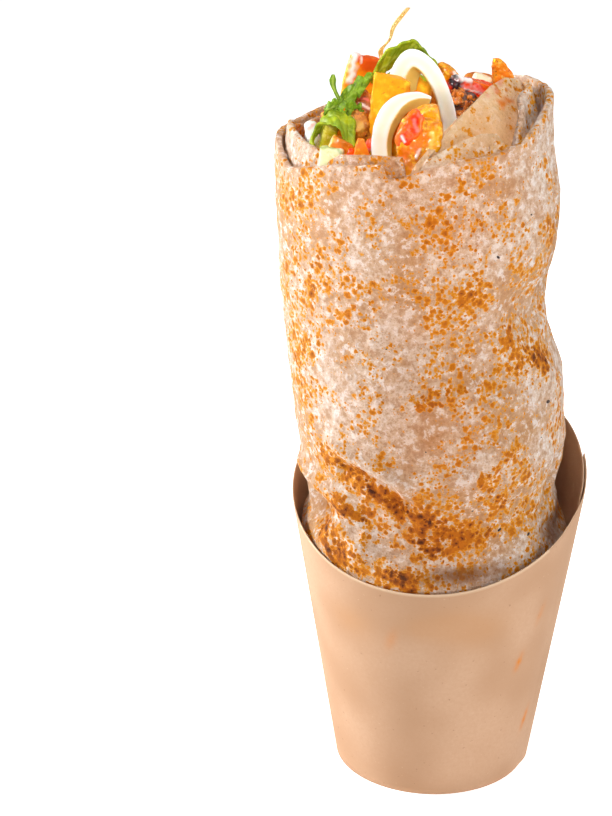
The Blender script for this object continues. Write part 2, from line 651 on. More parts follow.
def makeTortillaLook(name):
    look = Look(name, roughness=0.66, Subsurface_Weight=0.04, Specular_IOR_Level=0.2)
    look.shader.inputs["Subsurface Radius"].default_value = (0.002, 0.001, 0.0005)
    toast = look.painted("toast")
    crumple = look.grain(420, 5.0, 0.70)
    pores = look.grain(1300, 4.0, 0.65)
    tan = look.patches(34, 0.44, 0.62, 4.0)
    tanFine = look.patches(130, 0.42, 0.64, 4.0)
    cluster = look.patches(85, 0.36, 0.62, 3.0)
    base = look.mix(look.share(tan, 0.8), srgb(230, 205, 184), srgb(204, 148, 90))
    base = look.mix(look.share(tanFine, 0.45), base, srgb(206, 154, 108))
    hollow, crest = look.soft(crumple, 0.50, 0.38), look.soft(crumple, 0.51, 0.61)
    base = look.mix(look.share(hollow, 0.60), base, srgb(186, 130, 86))
    base = look.mix(look.share(crest, 0.85), base, srgb(246, 234, 228))
    base = look.mix(look.share(look.soft(pores, 0.47, 0.32), 0.5), base, srgb(180, 124, 84))
    amount = look.math("SUBTRACT", look.share(cluster, 0.78), 0.30)
    amount = look.math("ADD", amount, look.share(toast, 0.70))
    amount = look.math("SUBTRACT", amount, look.share(look.painted("calm"), 0.42))
    tiny, _ = look.spots(880, look.math("ADD", amount, 0.26), 0.55)
    small, smallCentre = look.spots(600, look.math("ADD", amount, 0.32), 0.6)
    large, largeCentre = look.spots(410, look.math("ADD", amount, 0.20), 0.7)
    lowEdge = look.math("SUBTRACT", 0.62, look.share(toast, 0.20))
    lowEdge = look.math("SUBTRACT", lowEdge, look.share(cluster, 0.05))
    blotch = look.patches(300, lowEdge, look.math("ADD", lowEdge, 0.16), 5.0)
    more = look.share(toast, 0.22)
    strength = look.math(
        "MAXIMUM", look.math("MULTIPLY", small, look.math("ADD", more, 0.48)),
        look.math("MULTIPLY", large, look.math("ADD", more, 0.54)),
    )
    strength = look.math("MAXIMUM", strength, look.share(tiny, 0.36))
    strength = look.math("MAXIMUM", strength, look.share(blotch, 0.54))
    centres = look.math("MAXIMUM", look.share(smallCentre, 0.8), largeCentre)
    dark = look.math("MULTIPLY", centres, look.math("ADD", 0.10, look.share(toast, 0.36)))
    char = look.patches(230, 0.47, 0.64, 5.0)
    dark = look.math("ADD", dark, look.share(look.math("MULTIPLY", char, toast), 0.26))
    strength = look.math("ADD", strength, look.math("MULTIPLY", dark, look.soft(strength, 0.0, 0.4)))
    faded = look.math("SUBTRACT", 1.0, look.share(look.painted("calm"), 0.4))
    strength = look.math("MULTIPLY", strength, faded)
    brown = look.ramp(strength, [
        (0.0, srgb(236, 184, 112)), (0.28, srgb(232, 156, 30)), (0.52, srgb(210, 120, 0)),
        (0.76, srgb(168, 86, 2)), (1.0, srgb(86, 38, 0)),
    ])
    base = look.mix(look.share(look.painted("calm"), 1.1), base, srgb(252, 212, 158))
    colour = look.mix(look.soft(strength, 0.0, 0.30), base, brown)
    colour = look.mix(look.share(look.painted("tan"), 0.8), colour, srgb(250, 184, 104), "MULTIPLY")
    colour = look.mix(look.painted("sauce"), colour, srgb(240, 124, 10))
    colour = look.mix(look.painted("pink"), colour, srgb(236, 150, 126))
    colour = look.mix(look.painted("shade"), colour, srgb(142, 82, 34))
    look.use("Base Color", colour)
    look.bump([(crumple, 1.0, 1.8), (pores, 1.0, 0.45), (strength, 0.5, 0.3)])
    return look.material


def rollOuterSheet():
    heights = list(np.linspace(199.5, wrap["tuck"] + 0.5, wrap["rows"]))
    profile = [(199.95, 0.45), (199.8, 0.12)] + [(height, 0.0) for height in heights]
    profile += [(height, 0.0) for height in (wrap["tuck"], 50, 26, 14, 10, 8, wrap["floor"])]
    profile += [(wrap["floor"], None), (wrap["floor"] + wrap["outerSheet"], None)]
    profile += [(height, wrap["outerSheet"]) for height in (9, 14, 40, 66)]
    profile += [(height, wrap["outerSheet"]) for height in np.linspace(wrap["tuck"], 199.5, 50)]
    profile += [(199.8, 1.88), (199.95, 1.55), (200.0, 1.0), (199.95, 0.45)]
    last = len(profile) - 1
    heightRow = [row[0] for row in profile]
    insetRow = [0.0 if row[1] is None else row[1] for row in profile]
    middleRow = [1.0 if row[1] is None else 0.0 for row in profile]

    def place(u, v):
        theta = u * 360.0 - 180.0
        row = np.round(v * last).astype(int)
        height, inset = np.array(heightRow)[row], np.array(insetRow)[row]
        middle = np.array(middleRow)[row][:, None]
        level = rimHeight(height, lookup(outerRim, theta) + 0.35 * raggedEdge(theta, 0.12))
        points = wrapPoints(theta, level, inset)
        centred = np.stack([theta * 0, theta * 0, height], axis=1)
        return points * (1 - middle) + centred * middle

    mesh, _, _ = gridSheet(wrap["columns"], last, place)
    closeSeams(mesh)
    return mesh


# Pushes the outside of a sheet by its wrinkles, and keeps its toast for the material.
def dressSheet(mesh, strength=1.0, toastShare=1.0):
    points, normals = pointsOf(mesh), normalsOf(mesh)
    theta = np.degrees(np.arctan2(points[:, 0], -(points[:, 1] + 1.5)))
    height = points[:, 2]
    outward = np.sum(normals[:, :2] * points[:, :2], axis=1)
    outward = outward / np.maximum(1, np.hypot(points[:, 0], points[:, 1]))
    calm = np.clip((height - wrap["tuck"] + 2) / 6, 0, 1) * strength
    relief = wrinkles(points, theta, height) * calm * np.clip(outward * 1.6, 0, 1)
    movePoints(mesh, points + normals * relief[:, None])
    paint(mesh, "toast", toastAt(theta, height) * toastShare)
    middle = np.exp(-(((theta + 6) / 34) ** 2)) * np.clip((height - 60) / 30, 0, 1)
    paint(mesh, "tan", middle * (0.4 + 0.25 * noiseAt(points, 22.0, 9.0)))
    return points, theta, height


def rollTortilla(material):
    mesh = rollOuterSheet()
    points, theta, height = dressSheet(mesh)
    gap = np.exp(-(((theta - 10) * degree / 12) ** 2) - ((height - 79.5) / 2.6) ** 2)
    side = np.exp(-(((theta - 66) * degree / 10) ** 2) - ((height - 84) / 5) ** 2)
    pocket = np.exp(-(((theta + 70) * degree / 8) ** 2) - ((height - 92) / 4) ** 2)
    fray = 0.25 * noiseAt(points, 5.0, 8.0) + 0.12 * noiseAt(points, 1.6, 9.0)
    shade = 0.9 * gap + 0.6 * side + 0.8 * pocket + fray * (gap + side + pocket)
    paint(mesh, "shade", np.clip(shade, 0, 0.85))
    return finishPiece("tortilla_outer", mesh, material, ["tortilla"])


def rollInnerSheet(material):
    levels = list(np.linspace(0, 0.985, 44))
    profile = [(level, 0.0) for level in levels]
    profile += [(0.996, 0.2), (1.0, 0.6), (1.0, 1.2), (0.996, 1.6)]
    profile += [(level, wrap["innerSheet"]) for level in reversed(levels)]
    profile += [profile[0]]
    last = len(profile) - 1

    def place(u, v):
        theta = u * 360.0 - 180.0
        row = np.round(v * last).astype(int)
        level, inset = np.array(profile)[row].T
        rim = lookup(innerRim, theta) + 0.3 * raggedEdge(theta, 0.14, 4.0)
        height = 160 + level * (rim - 160)
        up = np.clip((height - 185) / (rim - 185), 0, 1)
        lean = lookup(innerLean, theta) * up ** 2
        ripple = 0.9 * np.exp(-(((theta - 80) / 26) ** 2)) * np.sin(np.radians(theta * 17)) * up
        return wrapPoints(theta, height, wrap["outerSheet"] + 0.05 + lean + ripple + inset)

    mesh, _, _ = gridSheet(300, last, place)
    closeSeams(mesh)
    dressSheet(mesh, 0.5, 0.6)
    return finishPiece("tortilla_inner", mesh, material, ["tortilla"])


# A tongue of tortilla from the wall of the wrap up to a free edge inside the opening.
def tongueSheet(name, material, edge, turns, drop, inset, bulge, thickness, marks, waves, seed, tan):
    count = len(edge) - 1

    def place(u, v):
        free = placeAlong(edge, u * count)
        theta = np.interp(u, [0, 1], turns)
        root = wrapPoints(theta, lookup(outerRim, theta) - drop, inset)
        points = root + (free - root) * v[:, None]
        arch = np.sin(np.pi * v) * bulge
        points[:, 2] += arch
        points[:, 1] += 0.35 * arch
        swell = noiseAt(points, 9.0, seed) * waves + noiseAt(points, 3.0, seed + 1) * 0.18
        points[:, 1] += swell * np.clip(v * 3, 0, 1)
        return points

    mesh, _, rise = gridSheet(count * 14, 48, place)
    points = pointsOf(mesh)
    paint(mesh, "toast", 0.16 + 0.2 * noiseAt(points, 8.0, seed + 2))
    paint(mesh, "calm", np.full(len(points), tan))
    paint(mesh, "tan", tan * np.clip(1.15 - rise + 0.35 * noiseAt(points, 7.0, seed + 3), 0, 1))
    for layer, path, width, strength in marks:
        blurred = points + noisePush(points, 2.2, (seed + 5, seed + 6, seed + 7)) * width * 0.9
        paint(mesh, layer, nearPath(blurred, path, width) * strength)
    return finishPiece(name, mesh, material, ["tortilla"], modifiers=[
        ("SOLIDIFY", {"thickness": thickness * mm, "offset": 0.0, "use_even_offset": True}),
        ("BEVEL", {
            "width": 0.45 * mm, "segments": 3, "limit_method": "ANGLE", "angle_limit": math.radians(50),
        }),
    ])


# burnt specks stuck to the outside: theta, height, half-length, lean
flakes = [
    (52, 128, 0.95, 0.3), (20, 176, 0.6, 0.8), (26, 92, 0.8, -0.6), (42, 88, 0.7, -0.9), (38, 186, 0.4, 0.2),
    (47, 118, 0.35, 0.5), (-8, 120, 0.3, 1.1), (-24, 150, 0.3, 0.1), (12, 100, 0.35, -0.4),
]


def stickFlakes(target, material):
    tree = BVHTree.FromObject(target, bpy.context.evaluated_depsgraph_get())
    mesh = bmesh.new()
    for theta, height, half, lean in flakes:
        angle = math.radians(theta)
        outward = Vector((math.sin(angle), -math.cos(angle), 0))
        start = cupAxis + outward * 0.08 + Vector((0, 0, height * mm))
        spot, normal, _, _ = tree.ray_cast(start, -outward)
        added = bmesh.ops.create_icosphere(mesh, subdivisions=2, radius=1.0)["verts"]
        bmesh.ops.scale(mesh, vec=(half * 0.6, half, half * 0.3), verts=added)
        bmesh.ops.rotate(mesh, cent=(0, 0, 0), matrix=turned((lean, 0, 1), normal), verts=added)
        bmesh.ops.translate(mesh, vec=(spot - cupAxis) / mm, verts=added)
    return finishPiece("burnt_specks", mesh, material)


tortillaLook = makeTortillaLook("bakedTortilla")
outerSheet = rollTortilla(tortillaLook)
speckLook = Look("burntSpeck", roughness=0.5)
speckTone = speckLook.patches(900, 0.4, 0.6)
speckLook.use("Base Color", speckLook.mix(speckTone, srgb(34, 16, 10), srgb(70, 36, 18)))
speckLook.bump([(speckLook.grain(2500), 0.6, 0.1)])
stickFlakes(outerSheet, speckLook.material)
print("outer sheet made")
rollInnerSheet(tortillaLook)
flapEdge = [
    (-8.2, -36.2, 203.2), (-3.4, -30.5, 207.9), (1.3, -25, 211.4), (4.2, -21, 213.2), (6.6, -17, 214.6),
    (11.6, -9, 217.2), (16.2, -2, 217.8), (19.4, 2, 216.4), (22.5, 1.0, 214.5),
]
tongueEdge = [
    (-6.9, -36.4, 203.3), (-4.6, -35.3, 204.9), (-1.6, -34, 206.1), (3.4, -31.4, 207.8),
    (8, -28.6, 208.7), (11.9, -26, 207.9), (13.7, -26, 205.6),
]
tuckEdge = [(10.3, -30, 205.6), (14, -29, 206.0), (17.2, -28.2, 204.6)]
tongueSheet(
    "tortilla_flap", tortillaLook, flapEdge, (-10, 66), 9, 3.4, 1.6, 1.7,
    [("sauce", [(10.8, -14, 211.0), (15.2, -11, 213.4), (20.0, -9, 214.2)], 1.9, 0.9),
     ("pink", [(10.5, -9, 215.4), (13.5, -5, 216.4)], 3.4, 0.7)], 0.7, 2.0, 0.6,
)
tongueSheet("tortilla_tongue", tortillaLook, tongueEdge, (-5.3, 33.3), 4.4, 2.2, 0.8, 2.0, (), 0.4, 6.0, 0.3)
tongueSheet("tortilla_tuck", tortillaLook, tuckEdge, (30.7, 43.1), 3.7, 2.1, 0.3, 1.6, (), 0.2, 9.0, 0.3)
print("tortilla made")


# shapes of the filling

# Remeshes a closed shape into small even faces, and gives back a bmesh in millimetres.
def clayOf(mesh, voxel=0.42):
    bmesh.ops.scale(mesh, vec=(mm, mm, mm), verts=mesh.verts)
    bmesh.ops.recalc_face_normals(mesh, faces=mesh.faces)
    made = linkedObject("clay", meshData("clay", mesh))
    remesh = made.modifiers.new("Clay", "REMESH")
    remesh.mode = "VOXEL"
    remesh.voxel_size = voxel * mm
    rough, finished = made.data, finishedMesh(made)
    clay = bmesh.new()
    clay.from_mesh(finished)
    bpy.data.objects.remove(made, do_unlink=True)
    for data in (rough, finished):
        bpy.data.meshes.remove(data)
    bmesh.ops.scale(clay, vec=(1 / mm, 1 / mm, 1 / mm), verts=clay.verts)
    return clay


# Pushes the surface in and out by layers of (amount, size) noise.
def roughen(mesh, layers, seed=1.0):
    points, normals = pointsOf(mesh), normalsOf(mesh)
    relief = sum(amount * noiseAt(points, size, seed + step) for step, (amount, size) in enumerate(layers))
    movePoints(mesh, points + normals * relief[:, None])


def seat(mesh, centre, axes):
    bmesh.ops.rotate(mesh, cent=(0, 0, 0), matrix=turned(*axes), verts=mesh.verts)
    bmesh.ops.translate(mesh, vec=centre, verts=mesh.verts)


# Cuts away what lies past a plane, and closes the cut.
def cutAway(mesh, place, normal):
    cut = bmesh.ops.bisect_plane(
        mesh, geom=mesh.verts[:] + mesh.edges[:] + mesh.faces[:], plane_co=place, plane_no=normal,
        clear_outer=True,
    )["geom_cut"]
    bmesh.ops.holes_fill(mesh, edges=[item for item in cut if isinstance(item, bmesh.types.BMEdge)])


def roundEdges(mesh, edges, offset, segments):
    bmesh.ops.bevel(
        mesh, geom=edges, offset=offset, offset_type="OFFSET", segments=segments, profile=0.5,
        affect="EDGES", material=-1,
    )


def soften(mesh, times=1):
    for _ in range(times):
        bmesh.ops.smooth_vert(
            mesh, verts=mesh.verts, factor=0.5, use_axis_x=True, use_axis_y=True, use_axis_z=True,
        )


fillingFloor = 192.0


# A torn or chopped piece: a lump with flat cuts given as (distance from the middle, direction).
def chunk(centre, size, axes, rough, seed=1.0, cuts=(), voxel=0.42):
    mesh = bmesh.new()
    bmesh.ops.create_icosphere(mesh, subdivisions=4, radius=1.0)
    bmesh.ops.scale(mesh, vec=size, verts=mesh.verts)
    points = pointsOf(mesh)
    movePoints(mesh, points + noisePush(points, 3.2, (seed, seed + 11, seed + 22)) * rough[0][0])
    for distance, direction in cuts:
        normal = Vector(direction).normalized()
        cutAway(mesh, normal * distance, normal)
    seat(mesh, centre, axes)
    cutAway(mesh, (0, 0, fillingFloor), (0, 0, -1))
    clay = clayOf(mesh, voxel)
    soften(clay, 2)
    roughen(clay, rough[1:], seed)
    return clay


def block(centre, size, axes, roundOff, rough, seed=1.0):
    mesh = bmesh.new()
    bmesh.ops.create_cube(mesh, size=1.0)
    bmesh.ops.scale(mesh, vec=size, verts=mesh.verts)
    roundEdges(mesh, mesh.edges[:], roundOff, 4)
    seat(mesh, centre, axes)
    clay = clayOf(mesh, 0.35)
    roughen(clay, rough, seed)
    return clay


def coin(centre, radius, thickness, axes, rough, seed=1.0):
    mesh = bmesh.new()
    bmesh.ops.create_cone(
        mesh, cap_ends=True, segments=48, radius1=radius, radius2=radius * 0.97, depth=thickness,
    )
    rims = [edge for edge in mesh.edges if abs(edge.verts[0].co.z - edge.verts[1].co.z) < 0.01]
    roundEdges(mesh, rims, 0.8, 3)
    seat(mesh, centre, axes)
    clay = clayOf(mesh)
    roughen(clay, rough, seed)
    return clay


# A potato wedge with a flat face towards -Y, one to its side, and round skin on the rest.
def potatoWedge(centre, length, width, depth, axes, rough, flatSide=1, top=None, seed=1.0):
    mesh = bmesh.new()
    bmesh.ops.create_uvsphere(mesh, u_segments=64, v_segments=40, radius=1.0)
    bmesh.ops.scale(mesh, vec=(width, depth, length / 2), verts=mesh.verts)
    cutAway(mesh, (0, 0, 0), (0, -1, 0))
    cutAway(mesh, (0, 0, 0), (flatSide, 0.18, 0))
    if top:
        cutAway(mesh, (0, 0, top[0]), (top[1], 0, 1))
    bmesh.ops.translate(mesh, vec=(flatSide * width / 2, 0, 0), verts=mesh.verts)
    seat(mesh, centre, axes)
    cutAway(mesh, (0, 0, fillingFloor), (0, 0, -1))
    clay = clayOf(mesh)
    soften(clay)
    roughen(clay, rough, seed)
    return clay


# Part of an onion ring: a band with soft edges bent round an oval. Flare narrows it towards its
# back, and taper thins it towards its first end.
def onionHoop(centre, across, up, halfAcross, halfUp, radial, width, ends, steps, flare, taper, seed=1.0):
    across = np.array(Vector(across).normalized())
    up = np.array(up, float)
    up = up - across * (up @ across)
    up /= np.linalg.norm(up)
    side = np.cross(across, up)

    def place(u, v):
        around = np.radians(ends[0] + u * (ends[1] - ends[0]))[:, None]
        middle = across * halfAcross * np.cos(around) + up * halfUp * np.sin(around)
        outward = across * halfUp * np.cos(around) + up * halfAcross * np.sin(around)
        outward /= np.linalg.norm(outward, axis=1)[:, None]
        turn = math.tau * v
        flatX = np.clip(1.45 * np.cos(turn), -0.86, 0.86)[:, None]
        flatY = np.clip(1.45 * np.sin(turn), -0.86, 0.86)[:, None]
        thin = (1 - taper * (1 - np.clip(2 * u, 0, 1)))[:, None]
        reach = radial / 2 * thin * flatX + flare * width / 2 * (flatY - 0.86)
        reach += 0.35 * np.sin(around * 2.3 + seed) - 0.25 * np.clip(flatY, 0, 1) * (1 - flatX ** 2)
        return np.array(centre) + middle + outward * reach + side * width / 2 * flatY

    mesh, _, v = gridSheet(steps, 48, place)
    turn = math.tau * v
    paint(mesh, "inner", np.clip(-0.15 - 1.6 * np.cos(turn) - 0.5 * np.sin(turn), 0, 1))
    paint(mesh, "core", np.clip(np.sin(turn), 0, 1) * np.exp(-(np.cos(turn) / 0.45) ** 2))
    closeSeams(mesh, fillHoles=True)
    soften(mesh)
    roughen(mesh, [(0.25, 7.0), (0.10, 2.2)], seed)
    return mesh


# A thin wavy leaf along a spine; lie points across it, and teeth is the depth of its jagged edge.
def herbLeaf(spine, widths, lie, ruffle=0.6, waves=3.0, steps=90, bow=0.0, teeth=0.0, seed=1.0):
    count = len(spine) - 1
    lie = np.array(Vector(lie).normalized())

    def place(u, v):
        at = u * count
        middle = sum(placeAlong(spine, at + shift) for shift in (-0.5, -0.25, 0, 0.25, 0.5)) / 5
        run = placeAlong(spine, np.minimum(count, at + 0.4)) - placeAlong(spine, np.maximum(0, at - 0.4))
        normal = np.cross(run, lie)
        normal /= np.linalg.norm(normal, axis=1)[:, None]
        across = v - 0.5
        width = np.interp(at, range(count + 1), widths)
        phase = (u * waves * 2.2 + 0.37 * np.sign(across) + seed) % 1.0
        width = width * (1 - teeth * phase ** 1.5)
        wave = np.sin(math.tau * waves * u + 5 * across) * ruffle * (0.4 + 1.2 * np.abs(across))
        wave += 0.35 * ruffle * np.sin(math.tau * waves * 2.3 * u + 9 * across + seed)
        vein = -0.18 * np.exp(-((across / 0.05) ** 2))
        lift = wave + bow * (1 - 4 * across ** 2) + vein
        slant = teeth * 2.2 * np.abs(across) * (run / np.linalg.norm(run, axis=1)[:, None]).T
        points = middle + lie * (width * across)[:, None] + normal * lift[:, None]
        return points + slant.T * width[:, None] * 0.4

    mesh, u, v = gridSheet(steps, 28, place)
    across = v - 0.5
    slanted = u * count * 2.6 - np.abs(across) * 3.0
    side = np.exp(-(((slanted % 1.0) - 0.5) / 0.14) ** 2)
    middleVein = np.exp(-((across / 0.045) ** 2))
    paint(mesh, "vein", np.maximum(middleVein, 0.55 * side * (1 - 1.6 * np.abs(across))))
    return mesh


# Puts several shapes into one.
def joined(shapes):
    whole = shapes[0]
    for shape in shapes[1:]:
        data = meshData("shape", shape)
        whole.from_mesh(data)
        bpy.data.meshes.remove(data)
    return whole


# looks of the filling

# Colours are 0 to 255; a speckle is (colour, scale, amount, share) and a grain (scale, strength, depth).
def makeFood(name, colours, scale, rough, speckle=(), coat=0.0, grains=(), extra=None, **uniform):
    look = Look(name, Coat_Weight=coat, **uniform)
    low = look.patches(scale, 0.36, 0.64, 4.0)
    colour = look.mix(low, srgb(*colours[0]), srgb(*colours[1]))
    if len(colours) > 2:
        colour = look.mix(look.patches(scale * 2.7, 0.5, 0.72, 4.0), colour, srgb(*colours[2]))
    for tint, size, amount, share in speckle:
        mask, _ = look.spots(size, amount, 0.9)
        colour = look.mix(look.share(mask, share), colour, srgb(*tint))
    if extra:
        colour = extra(look, colour)
    look.use("Base Color", colour)
    look.use("Roughness", addNode(look.tree, "ShaderNodeMapRange", {
        "Value": look.grain(scale * 3, 3.0), "From Min": 0.35, "From Max": 0.65,
        "To Min": rough[0], "To Max": rough[1],
    }).outputs["Result"])
    look.bump([(look.grain(size, 4.0, 0.65), strength, depth) for size, strength, depth in grains])
    return look.material


# Each painted layer's colour, laid over the food in this order.
sauces = [
    ("skin", (112, 140, 20)), ("crumb", (255, 206, 96)), ("brown", (146, 66, 8)),
    ("fringe", (250, 116, 0)), ("red", (226, 36, 4)), ("pink", (248, 128, 120)),
    ("white", (252, 244, 240)), ("char", (44, 26, 34)),
]


def saucy(look, colour):
    for layer, tint in sauces:
        colour = look.mix(look.painted(layer), colour, srgb(*tint))
    return colour


def ringTint(look, colour):
    colour = look.mix(look.share(look.painted("core"), 0.55), colour, srgb(238, 220, 164))
    colour = look.mix(look.share(look.painted("inner"), 0.9), colour, srgb(255, 214, 84))
    return saucy(look, colour)


def veined(look, colour):
    colour = look.mix(look.share(look.painted("vein"), 0.6), colour, srgb(188, 206, 92))
    return saucy(look, colour)


potatoLook = makeFood(
    "potatoFace", [(255, 178, 4), (255, 150, 0), (255, 202, 40)], 150, (0.5, 0.7),
    [((214, 96, 2), 700, 0.34, 0.5), ((120, 54, 8), 420, 0.16, 0.4)], 0.08,
    [(500, 0.5, 0.3), (1500, 0.3, 0.1)], extra=saucy, Specular_IOR_Level=0.25,
)
roastLook = makeFood(
    "roastedRind", [(255, 156, 10), (240, 120, 4), (255, 196, 90)], 330, (0.4, 0.65),
    [((112, 44, 6), 620, 0.42, 0.8), ((255, 214, 140), 760, 0.3, 0.6)], 0.1,
    [(520, 0.8, 0.5), (1300, 0.4, 0.15)], extra=saucy, Specular_IOR_Level=0.3,
)
onionLook = makeFood(
    "onionFlesh", [(255, 253, 251), (250, 244, 238)], 110, (0.3, 0.45), (), 0.15,
    [(500, 0.15, 0.15)], extra=ringTint, Subsurface_Weight=0.12,
)
tomatoLook = makeFood(
    "tomatoFlesh", [(244, 44, 2), (255, 92, 2), (216, 16, 2)], 260, (0.16, 0.35),
    [((252, 120, 60), 420, 0.22, 0.5)], 0.35, [(380, 0.4, 0.4), (900, 0.2, 0.12)],
    extra=saucy, Specular_IOR_Level=0.35,
)
pepperLook = makeFood(
    "glazedPepper", [(246, 164, 2), (216, 116, 0), (255, 198, 50)], 260, (0.2, 0.4),
    [((180, 88, 4), 360, 0.42, 0.6), ((252, 228, 176), 520, 0.26, 0.6)], 0.4,
    [(420, 0.6, 0.5), (1000, 0.3, 0.15)], extra=saucy, Specular_IOR_Level=0.35,
)
carrotLook = makeFood(
    "carrotFlesh", [(255, 140, 0), (255, 112, 0), (255, 182, 40)], 280, (0.3, 0.5),
    [((190, 66, 4), 560, 0.3, 0.5)], 0.25, [(600, 0.5, 0.3)], extra=saucy,
)
friedLook = makeFood(
    "fried", [(212, 124, 16), (166, 82, 8), (240, 166, 60)], 330, (0.3, 0.6),
    [((82, 36, 8), 560, 0.42, 0.8), ((252, 216, 160), 640, 0.34, 0.75)], 0.3,
    [(480, 1.0, 0.7), (1300, 0.5, 0.2)], extra=saucy,
)
sausageLook = makeFood(
    "smoothMeat", [(226, 130, 12), (196, 100, 4), (244, 166, 60)], 170, (0.25, 0.45),
    [((120, 56, 8), 520, 0.26, 0.5)], 0.35, [(480, 0.5, 0.3)], extra=saucy,
)
charLook = makeFood(
    "charred", [(34, 18, 16), (92, 44, 20), (196, 96, 18)], 300, (0.2, 0.5),
    [((62, 54, 104), 520, 0.40, 0.7), ((16, 10, 12), 380, 0.5, 0.9)], 0.5,
    [(420, 1.0, 0.9), (1100, 0.5, 0.2)], extra=saucy,
)
crumbLook = makeFood(
    "friedCrumb", [(240, 132, 14), (176, 78, 8), (255, 206, 130)], 600, (0.3, 0.6),
    [((60, 26, 12), 640, 0.40, 0.8)], 0.3, [(900, 0.8, 0.2)],
)
cucumberLook = makeFood(
    "cucumberFlesh", [(240, 234, 186), (226, 222, 150), (250, 246, 222)], 200, (0.2, 0.4),
    (), 0.3, [(500, 0.2, 0.15)], extra=saucy, Subsurface_Weight=0.08,
)
pickleLook = makeFood(
    "pickleFlesh", [(204, 192, 40), (176, 170, 24), (226, 216, 110)], 260, (0.2, 0.4),
    (), 0.3, [(500, 0.3, 0.2)], extra=saucy,
)
leafLook = makeFood(
    "leafGreen", [(164, 176, 4), (112, 136, 2), (190, 198, 56)], 170, (0.45, 0.6),
    (), 0.04, [(700, 0.4, 0.2)], extra=veined, Specular_IOR_Level=0.25,
)
herbLook = makeFood(
    "herbGreen", [(122, 160, 8), (72, 108, 2), (160, 192, 56)], 330, (0.45, 0.6),
    (), 0.04, [(700, 0.5, 0.25)], extra=veined, Specular_IOR_Level=0.25,
)
strandLook = makeFood(
    "straw", [(250, 214, 140), (232, 170, 80)], 300, (0.35, 0.55), (), 0.1, [(700, 0.3, 0.1)],
)
coreLook = makeFood(
    "mixedBits", [(196, 100, 20), (132, 60, 12), (230, 146, 46)], 150, (0.3, 0.55),
    [((206, 36, 6), 240, 0.5, 0.8), ((96, 128, 14), 260, 0.42, 0.8),
     ((240, 214, 170), 280, 0.4, 0.8)], 0.3, [(380, 0.8, 0.7)],
)
print("looks of the filling made")


# filling

def coreTop(points):
    x, y = points[:, 0], points[:, 1]
    level = 202.5 - 0.0045 * np.hypot(x + 9, y + 1) ** 2
    level -= lookup([(-40, 6.0), (-20, 2.5), (0, 0), (30, 0.5)], y)
    level += lookup([(0, 0), (9, 5.0)], x) * lookup([(-13, 0), (-4, 1)], y)
    flat = np.stack([x, y, x * 0 + 3.0], axis=1)
    level += 1.6 * noiseAt(flat, 6.0) + 0.9 * np.abs(noiseAt(flat, 2.6, 5.0)) + 0.3 * noiseAt(flat, 1.2, 6.0)
    return level


def packCore(material):
    inset = wrap["outerSheet"] + wrap["innerSheet"] + 3.0
    floor = wrap["floor"] + wrap["outerSheet"] + 1.5
    sideRows = [floor, 14, 45] + list(np.linspace(76, 190, 30))
    topRows = list(np.linspace(1.0, 0.0, 60))
    last = len(sideRows) + len(topRows)

    def place(u, v):
        theta = u * 360.0 - 180.0
        row = np.round(v * last).astype(int)
        side = np.array([floor] + sideRows + [193.0] * len(topRows))[row]
        share = np.array([0.0] + [1.0] * len(sideRows) + topRows)[row]
        shrink = np.where(side < 14, inset + 3.0, inset)
        edge = wrapPoints(theta, side, shrink)
        middle = np.stack([np.full(len(theta), -9.0), np.full(len(theta), -1.5), side], axis=1)
        points = middle + (edge - middle) * share[:, None]
        top = row > len(sideRows)
        points[top, 2] = coreTop(points[top])
        return points

    mesh, _, _ = gridSheet(220, last, place)
    return finishPiece("filling_core_bits", mesh, material, ["filling_core"])


packCore(coreLook)
upright = ((1, 0, 0), (0, 0, 1))
meatRough = [(0.30, 3.0), (0.22, 1.4), (0.12, 0.8)]
crispRough = [(0.45, 2.6), (0.34, 1.3), (0.18, 0.7)]
potatoRough = [(0.22, 4.0), (0.12, 1.6), (0.06, 0.8)]
softRough = [(0.25, 3.5), (0.08, 1.4)]
coinRough = [(0.4, 4.0), (0.1, 1.4)]
sauceFall = np.array((0, 0.926, -0.378))


# Gives a sheet its thickness, and rounds it if asked.
def thickened(thickness, rounded=False):
    steps = [("SOLIDIFY", {"thickness": thickness * mm, "offset": 0.0})]
    return steps + [("SUBSURF", {"levels": 1, "render_levels": 1})] * rounded


# Each mark is (layer, path, half-width, strength, lift): a streak of sauce or of another colour,
# laid on from the front along sauceFall.
def addFood(node, mesh, material, marks=(), modifiers=(), name=None):
    for layer, path, width, strength, lift in marks:
        points = pointsOf(mesh)
        flat = points + noisePush(points, 1.6, (width + 5, width + 6, width + 7)) * width * 0.8
        flat = flat - np.outer(flat @ sauceFall, sauceFall)
        line = [np.array(point) - sauceFall * (np.array(point) @ sauceFall) for point in path]
        facing = np.clip(0.3 - 3 * (normalsOf(mesh) @ sauceFall), 0, 1)
        amount = nearPath(flat, line, width) * strength * facing
        before = mesh.verts.layers.float.get(layer)
        if before:
            amount = np.maximum(amount, [vertex[before] for vertex in mesh.verts])
        paint(mesh, layer, amount)
        if lift:
            movePoints(mesh, points + normalsOf(mesh) * (amount * lift)[:, None])
    return finishPiece(name or node + "_dressed", mesh, material, [node], modifiers=modifiers)


